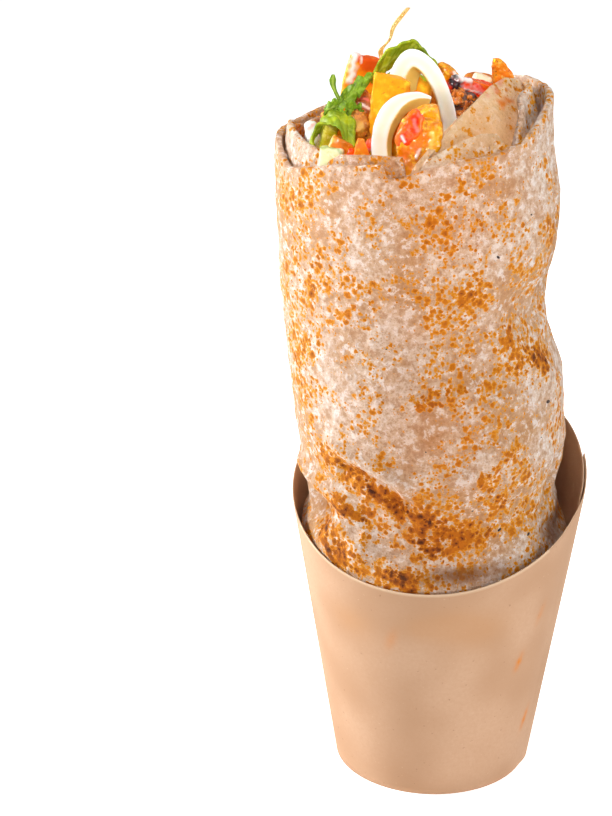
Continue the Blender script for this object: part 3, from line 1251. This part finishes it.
# Small crumbs stuck to finished pieces wherever keep says so.
def scatterCrumbs(name, hosts, keep, count, sizes, material, seed):
    draw = np.random.default_rng(seed)
    mesh = bmesh.new()
    corners = [vertex for host in hosts for vertex in host.data.vertices]
    spots = [((corner.co - cupAxis) / mm, corner.normal.copy()) for corner in corners]
    spots = [spot for spot in spots if keep(spot[0]) and spot[1].z - spot[1].y > 0.4]
    for index in draw.choice(len(spots), count, replace=False):
        spot, normal = spots[index]
        size = sizes[0] + (sizes[1] - sizes[0]) * draw.random() ** 2
        added = bmesh.ops.create_icosphere(mesh, subdivisions=2, radius=size)["verts"]
        bmesh.ops.scale(mesh, vec=draw.uniform(0.6, 1.4, 3), verts=added)
        for vertex in added:
            vertex.co *= 1 + 0.9 * noise.noise(vertex.co / size * 1.7 + Vector((index, 0, 0)))
        bmesh.ops.translate(mesh, vec=spot + normal * size * 0.3, verts=added)
    return finishPiece(name, mesh, material, ["filling_core"])


addFood("potato_wedge_front", potatoWedge(
    (-16.9, -17.6, 206), 84, 11.4, 7.5, ((0.97, 0.18, 0), (0.05, 0.05, 1)), potatoRough, 1, (14.4, 0.25), 2.0,
), potatoLook, [
    ("crumb", [(-22.6, -20.6, 220.0), (-22.8, -21.0, 214.0), (-24.0, -22.0, 206.0)], 1.3, 0.8, 0.25),
    ("brown", [(-22.6, -22.5, 203.0), (-16.0, -24.0, 201.0)], 4.5, 0.45, 0),
    ("brown", [(-11.6, -17.8, 219.4), (-9.4, -19.0, 213.6)], 1.6, 0.4, 0),
])
addFood("onion_ring_tall", onionHoop(
    (-6.2, -12.5, 207.6), (0.85, -0.53, 0.21), (0, 0, 1), 8.4, 19.2, 5.8, 4.0, (-60, 240), 150, 0.75, 0.0,
), onionLook, [("fringe", [(1.0, -17, 217.3), (1.6, -17, 216.9)], 0.55, 0.7, 0)])
addFood("onion_ring_front", onionHoop(
    (-8.2, -27.8, 202.6), (1, 0.05, 0), (0, 0.60, 0.80), 11.6, 17.3, 5.2, 4.2, (72, 190), 90, 0.45, 0.85, 2.0,
), onionLook)
addFood("tomato_front", chunk(
    (-11.4, -31.4, 211.2), (3.5, 2.0, 5.8), ((1, 0.1, -0.5), (0.55, 0.15, 1)),
    [(0.8, 1), (0.3, 2.0), (0.12, 0.9)], 4.0,
    [(2.9, (1, -0.1, 0.2)), (2.6, (-1, -0.2, 0.1)), (4.6, (0.5, 0, 1))], 0.30,
), tomatoLook, [
    ("fringe", [(-15.6, -31, 206.8), (-14.8, -32.4, 211.6), (-11.0, -32.0, 216.4)], 1.7, 0.9, 0),
    ("fringe", [(-8.0, -32.0, 212.8), (-9.6, -33.4, 208.6)], 1.5, 0.8, 0),
    ("pink", [(-10.8, -33.4, 214.0), (-9.6, -33.4, 211.4)], 0.7, 0.8, 0.1),
    ("white", [(-13.8, -33.2, 209.4), (-13.2, -33.4, 208.0)], 0.45, 0.9, 0.15),
])
addFood("pepper_strip", block(
    (-9.2, -31.4, 205.0), (11.5, 3.6, 18), ((1, 0.1, 0), (0.16, 0.2, 1)), 1.6,
    [(0.9, 4.2), (0.4, 1.5), (0.14, 0.7)], 3.0,
), pepperLook, [
    ("fringe", [(-13.8, -33.6, 204.6), (-10.4, -33.8, 206.6), (-7.4, -33.4, 209.4)], 1.8, 0.8, 0.1),
    ("crumb", [(-6.4, -33.4, 203.0), (-5.4, -33.2, 209.8)], 0.9, 0.8, 0.2),
    ("brown", [(-9.6, -34.0, 201.0), (-8.4, -33.8, 205.4)], 1.1, 0.5, -0.15),
    ("white", [(-9.8, -34.0, 203.6), (-8.8, -34.0, 206.2)], 0.55, 0.55, 0.1),
])
addFood("pepper_piece", chunk(
    (-6.4, -22.6, 211.5), (4.4, 2.8, 5.6), upright, [(0.8, 1), (0.3, 2.4), (0.1, 1.0)], 5.0,
    [(3.4, (-0.3, -0.2, 1)), (3.6, (1, 0, 0.2))],
), pepperLook, [("brown", [(-9.8, -24.6, 209.6), (-3.6, -25.0, 210.0)], 0.8, 0.6, -0.2)])
addFood("carrot_piece", chunk(
    (-10.4, -5.6, 213.0), (6.2, 4.0, 6.5), upright, [(1.0, 1)] + meatRough, 6.0,
), potatoLook, [("brown", [(-9, -9, 212), (-4, -9, 213)], 2.4, 0.6, 0)])
addFood("potato_wedge_left", potatoWedge(
    (-24.9, -3.0, 208.0), 66, 11.8, 8, ((0.97, 0.22, 0), (0.12, 0.06, 1)), potatoRough, 1, (15.2, 0.10), 7.0,
), potatoLook, [
    ("crumb", [(-30.0, -2.4, 214.5), (-28.8, -2.2, 219.5), (-27.6, -2.0, 223.2)], 1.4, 0.55, 0.2),
    ("fringe", [(-24.0, -3.0, 224.0), (-19.6, -3.0, 223.2), (-21.6, -3.0, 218.4)], 3.4, 0.9, 0.1),
    ("red", [(-24.2, -3.0, 224.2), (-20.2, -3.0, 223.2), (-23.6, -3.0, 221.6)], 2.2, 0.6, 0.25),
    ("white", [(-25.8, -3.0, 225.0), (-26.6, -3.0, 221.6), (-27.0, -4.0, 218.2)], 1.6, 1.0, 0.45),
    ("white", [(-24.0, -3.0, 224.4), (-24.4, -3.0, 222.6)], 0.5, 0.8, 0.2),
])
addFood("sausage_end", chunk(
    (-23.9, -10.2, 211.5), (3.4, 3.0, 5.6), upright, [(0.7, 1)] + meatRough, 8.0, [(2.4, (0.1, -1, 0.3))],
), friedLook, [
    ("brown", [(-25, -12.8, 213.4), (-21, -12.8, 212.6)], 2.6, 0.7, 0),
    ("pink", [(-25.4, -12.6, 215.2), (-22.4, -12.8, 214.6)], 0.6, 0.9, 0.2),
    ("white", [(-24.8, -12.8, 213.3), (-21.6, -12.8, 211.7)], 0.55, 1.0, 0.3),
])
addFood("sausage_slice_front", chunk(
    (-30.6, -25.2, 203.0), (4.6, 3.0, 6.4), ((1, 0, 0.2), (-0.22, 0.05, 1)),
    [(0.6, 1), (0.3, 4.0), (0.12, 1.4)], 9.0, [(3.6, (0.75, 0, 0.9)), (3.5, (-0.9, 0, 0.8))],
), sausageLook, [
    ("crumb", [(-32.6, -27.4, 209.0), (-33.6, -27.6, 205.4)], 1.5, 0.7, 0),
    ("white", [(-32.3, -26.8, 210.0), (-33.4, -27.4, 207.2)], 1.1, 0.9, 0.15),
    ("fringe", [(-31.8, -28.2, 206.2), (-30.8, -28.4, 205.4)], 1.2, 0.7, 0.1),
    ("red", [(-32.4, -28.4, 203.4), (-30.6, -28.6, 203.6)], 0.5, 0.7, 0.1),
])
addFood("sausage_piece_left", chunk(
    (-25.4, -17.6, 206.4), (4.0, 3.4, 6.0), upright, [(0.9, 1)] + crispRough, 10.0,
), friedLook, [("crumb", [(-27.2, -20.2, 211.0), (-24.6, -20.8, 209.0)], 1.3, 0.6, 0)])
addFood("carrot_sliver", herbLeaf(
    [(-24.2, -29.6, 197), (-24.6, -30.2, 203), (-24.9, -29.9, 208.8)], [5.2, 4.8, 1.2], (1, 0.1, 0), 0.0,
    1.0, 40,
), carrotLook, modifiers=thickened(2.4, True))
addFood("pickle_stick", block(
    (-34.2, -19.6, 203.0), (4.4, 3.6, 14), ((1, 0.3, 0), (0.22, 0.1, 1)), 0.9, softRough, 11.0,
), pickleLook, [("white", [(-35.0, -20.6, 210.4), (-31.6, -19.6, 210.2)], 1.3, 1.0, 0)])
addFood("cucumber_piece", block(
    (-32.8, -27.4, 200.4), (6.8, 4.0, 9), ((1, -0.3, 0), (0.1, 0.1, 1)), 1.0, softRough, 12.0,
), cucumberLook, [
    ("skin", [(-36.2, -27.4, 204.8), (-31.0, -28.6, 205.0), (-29.4, -29.2, 201)], 0.9, 0.6, 0),
])
addFood("onion_strip", block(
    (-38.2, -12.6, 202.0), (3.0, 5.0, 12), ((1, 0.5, 0), (-0.05, 0.1, 1)), 1.3,
    [(0.7, 3.0), (0.25, 1.2)], 13.0,
), onionLook, [("pink", [(-39.4, -15.6, 206.8), (-38.0, -15.0, 208.0)], 0.9, 0.6, 0)])
leafWalls = thickened(0.7)
addFood("leaf_left", herbLeaf([
    (-38.6, -20.4, 202.5), (-37.0, -19.2, 207.4), (-34.4, -19.0, 211.2), (-31.0, -20.6, 211.6),
    (-28.2, -22.4, 209.0), (-26.4, -25.6, 204.0),
], [3.0, 4.0, 5.0, 8.0, 8.5, 3.0], (0.35, 0.9, 0.35), 0.7, 2.4, 130, teeth=0.22), leafLook,
    [("skin", [(-31.5, -22, 209.5), (-30.0, -24, 206.0)], 2.6, 0.8, 0)], leafWalls)
addFood("parsley", joined([
    herbLeaf([
        (-33.0, -16.2, 211.6), (-30.6, -15.0, 213.8), (-28.0, -13.8, 215.4), (-25.0, -13.0, 217.8),
        (-21.4, -12.2, 221.0),
    ], [3.6, 8.6, 10.0, 6.8, 3.2], (0.25, 0.45, 0.85), 0.7, 1.5, 140, teeth=0.42),
    herbLeaf([(-29.0, -15.4, 214.0), (-26.8, -16.4, 211.8), (-23.8, -17.0, 211.4)], [5.0, 6.6, 1.0],
             (0.3, -0.2, 1), 0.5, 1.2, 70, teeth=0.45, seed=3.4),
    herbLeaf([(-30.6, -16.0, 213.6), (-33.0, -17.0, 213.4), (-34.8, -17.4, 212.2)], [5.0, 5.2, 0.8],
             (0.3, 0.2, 1), 0.4, 1.2, 60, teeth=0.45, seed=5.2),
    herbLeaf([(-30.0, -16.2, 212.8), (-31.4, -17.4, 210.4), (-31.2, -18.0, 208.6)], [4.0, 4.6, 0.8],
             (1, 0.2, 0.1), 0.4, 1.2, 60, teeth=0.45, seed=7.7),
]), herbLook, modifiers=leafWalls)
addFood("parsley_stalk", herbLeaf([
    (-30.4, -14.4, 214.8), (-31.4, -14.3, 216.6), (-32.3, -14.2, 218.8), (-32.4, -14.4, 220.4),
    (-32.2, -14.4, 222.2),
], [0.9, 0.9, 1.5, 2.0, 0.7], (1, 0, 0), 0.0, 1.0, 36), herbLook, modifiers=thickened(1.2, True))
addFood("leaf_back", herbLeaf([
    (-21.8, -4.0, 217.4), (-18.6, -3.4, 221.4), (-15.0, -3.0, 224.6), (-11.0, -2.8, 225.6),
    (-7.0, -2.8, 224.0), (-4.0, -2.8, 220.6), (-1.4, -2.8, 216.0),
], [4.0, 8.0, 10.0, 11.0, 10.0, 8.0, 5.0], (0.0, 0.62, -0.80), 0.5, 3.0, 140, teeth=0.06), leafLook,
    modifiers=leafWalls)
addFood("onion_strand", herbLeaf([
    (-17.6, 2.4, 216.0), (-18.0, 2.6, 222.4), (-19.0, 2.6, 224.7), (-17.1, 2.4, 226.6), (-15.7, 2.0, 228.5),
    (-15.6, 1.6, 231.0), (-13.8, 0.8, 234.0), (-10.6, 0, 238.0),
], [1.3, 1.5, 1.4, 0.7, 0.7, 1.2, 1.4, 1.1], (1, 0, 0), 0.0, 1.0, 120), strandLook,
    modifiers=thickened(0.6))
charred = addFood("charred_sausage", chunk(
    (4.2, -10.4, 209.4), (6.0, 4.6, 6.6), ((1, -0.2, -0.2), (0, 0, 1)), [(1.2, 1)] + crispRough, 14.0,
), charLook)
tomatoSide = addFood("tomato_right", chunk(
    (7.4, -3.4, 214.4), (9.4, 3.6, 4.6), ((0.92, 0.3, -0.28), (0.2, 0, 1)),
    [(1.0, 1), (0.5, 2.4), (0.2, 1.0)], 15.0, [(2.6, (0, -1, 0.2)), (3.3, (0.12, 0, 1)), (7.6, (1, 0, 0.3))],
), tomatoLook, [
    ("fringe", [(0.8, -5.6, 219.6), (8.0, -6.0, 218.2), (15.6, -6.2, 214.6)], 0.9, 0.8, 0),
    ("pink", [(1.0, -7.0, 217.4), (7.5, -7.0, 216.4), (13.6, -7.4, 213.6)], 0.8, 0.75, 0.15),
    ("char", [(1.8, -7.0, 217.1), (4.0, -7.0, 215.4)], 2.4, 1.0, 0.2),
    ("white", [(1.6, -6.4, 219.3), (6.4, -6.6, 218.4)], 1.2, 0.95, 0.3),
    ("white", [(4.8, -7.2, 216.2), (9.6, -7.2, 215.0)], 0.3, 0.7, 0.1),
])
addFood("pepper_bit", chunk(
    (-0.2, -2.6, 219.2), (3.2, 2.6, 3.6), upright, [(0.7, 1), (0.2, 2.0)], 16.0, [(2.3, (0.6, -0.2, 0.9))],
), pepperLook, [("white", [(2.2, -5.0, 220.4), (3.0, -5.2, 218.6)], 0.8, 0.7, 0.1)])
addFood("onion_piece_back", chunk(
    (9.4, 3.4, 213.2), (4.4, 2.6, 6.2), ((1, 0.2, 0), (0.1, 0, 1)), [(0.9, 1), (0.5, 2.4), (0.2, 1.0)], 17.0,
    [(4.6, (0.25, 0, 1)), (3.0, (-1, 0, 0.4))],
), onionLook, [("crumb", [(5.5, 1.2, 218.6), (12.5, 2.4, 217.4)], 6.0, 0.5, 0)])
addFood("potato_wedge_right", potatoWedge(
    (17.2, 4.0, 206.8), 31, 8.6, 6, ((0.97, -0.22, 0), (0.0, 0.02, 1)),
    [(0.4, 3.0), (0.2, 1.3), (0.1, 0.7)], -1, None, 18.0,
), roastLook, [("brown", [(13.6, 2.6, 216.5), (13.2, 2.4, 220.5)], 0.7, 0.5, 0)])
addFood("sausage_slice_back_left", coin(
    (-27.0, 11.0, 203.0), 8.4, 7.0, ((1, 0, 0), (-0.25, 0.35, 0.9)), coinRough, 19.0,
), sausageLook)
addFood("sausage_slice_back", coin(
    (-9.5, 16.5, 206.0), 9.2, 7.0, ((1, 0, 0), (0.15, 0.45, 0.9)), coinRough, 20.0,
), sausageLook)
addFood("potato_wedge_back", potatoWedge(
    (0.5, 25.0, 200.0), 36, 12, 9, ((-0.9, -0.4, 0), (0.2, -0.1, 1)), potatoRough, 1, (12.0, 0.3), 21.0,
), potatoLook)
addFood("sausage_slice_right", coin(
    (13.0, 15.5, 208.5), 8.6, 6.5, ((1, 0, 0), (0.35, -0.2, 0.9)), coinRough, 23.0,
), sausageLook)
addFood("tomato_slice_back", coin(
    (-17.0, 26.0, 204.0), 8.0, 4.5, ((1, 0, 0), (-0.2, 0.75, 0.6)), [(0.3, 4.0), (0.1, 1.4)], 22.0,
), tomatoLook)
addFood("leaf_far", herbLeaf([
    (-27.0, 15.0, 202.0), (-22.0, 18.5, 206.5), (-16.0, 21.5, 209.5), (-10.0, 23.5, 211.0),
    (-4.0, 25.5, 209.5), (2.0, 27.5, 206.0),
], [4.0, 8.0, 10.0, 10.0, 8.0, 4.0], (-0.3, 0.75, 0.6), 0.9, 3.0, 110), leafLook, modifiers=leafWalls)
addFood("filling_core", joined([
    chunk((-27.4, -29.6, 202.4), (1.3, 1.2, 3.0), upright, [(0.3, 1), (0.2, 1.2)], 31.0, voxel=0.26),
    chunk((-22.9, -26.6, 204.2), (1.2, 1.2, 3.2), ((1, 0, 0), (0.3, 0, 1)), [(0.4, 1), (0.2, 1.2)], 32.0,
          voxel=0.26),
    chunk((-7.8, -17.6, 209.6), (2.4, 1.6, 2.4), upright, [(0.5, 1), (0.2, 1.2)], 33.0, voxel=0.3),
]), tomatoLook, [
    ("pink", [(-24.0, -27.8, 205.0), (-22.2, -27.8, 204.2)], 0.4, 0.8, 0.1),
], name="tomato_bits")
scatterCrumbs(
    "fried_crumbs", [charred, tomatoSide], lambda spot: spot.x > -0.5 and spot.z < 215.4 - 0.3 * (spot.x - 4),
    120, (0.3, 1.5), crumbLook, 5,
)
print("filling made")


# floor, light and surroundings

stageValues = {"floorSize": 3.0, "floorGlow": 0.74, "worldGlow": 0.20}
# name: place, target, size, power, colour, spread in degrees
lights = {
    "keyLeft": ((-0.84, 0.16, 0.42), (0, 0, 0.13), 0.34, 10.5, (0.97, 0.99, 1.0), 180),
    "broadRight": ((0.80, -0.42, 0.42), (0, 0, 0.12), 0.7, 3.6, (0.98, 0.99, 1.0), 180),
    "fillingSoft": ((-0.10, -0.50, 0.62), (-0.01, -0.01, 0.215), 0.16, 0.055, (1.0, 0.99, 0.97), 20),
    "topSoft": ((0.05, 0.1, 0.95), (0, 0, 0.15), 0.7, 1.8, (1, 1, 1), 180),
}


def makeStage():
    look = Look("paleFloor", roughness=0.9)
    tone = look.patches(6, 0.3, 0.7, 2.0)
    look.use("Base Color", look.mix(tone, srgb(246, 246, 246), srgb(250, 250, 250)))
    look.shader.inputs["Emission Color"].default_value = (1, 1, 1, 1)
    look.shader.inputs["Emission Strength"].default_value = stageValues["floorGlow"]
    mesh = bmesh.new()
    bmesh.ops.create_grid(mesh, x_segments=2, y_segments=2, size=stageValues["floorSize"])
    floor = linkedObject("floor", meshData("floor", mesh))
    floor.data.materials.append(look.material)


def addLight(name, place, target, size, power, colour, spread):
    data = bpy.data.lights.new(name, "AREA")
    data.shape = "DISK"
    data.size = size
    data.energy = power
    data.color = colour
    data.spread = math.radians(spread)
    made = linkedObject(name, data)
    made.location = place
    made.rotation_euler = (Vector(target) - Vector(place)).to_track_quat("-Z", "Y").to_euler()


makeStage()
for lightName, values in lights.items():
    addLight(lightName, *values)
world = bpy.data.worlds.new("studio")
world.use_nodes = True
background = world.node_tree.nodes["Background"].inputs
background["Color"].default_value = (1, 1, 1, 1)
background["Strength"].default_value = stageValues["worldGlow"]
bpy.context.scene.world = world
bpy.context.scene.view_settings.view_transform = "Standard"

print("sizes written")
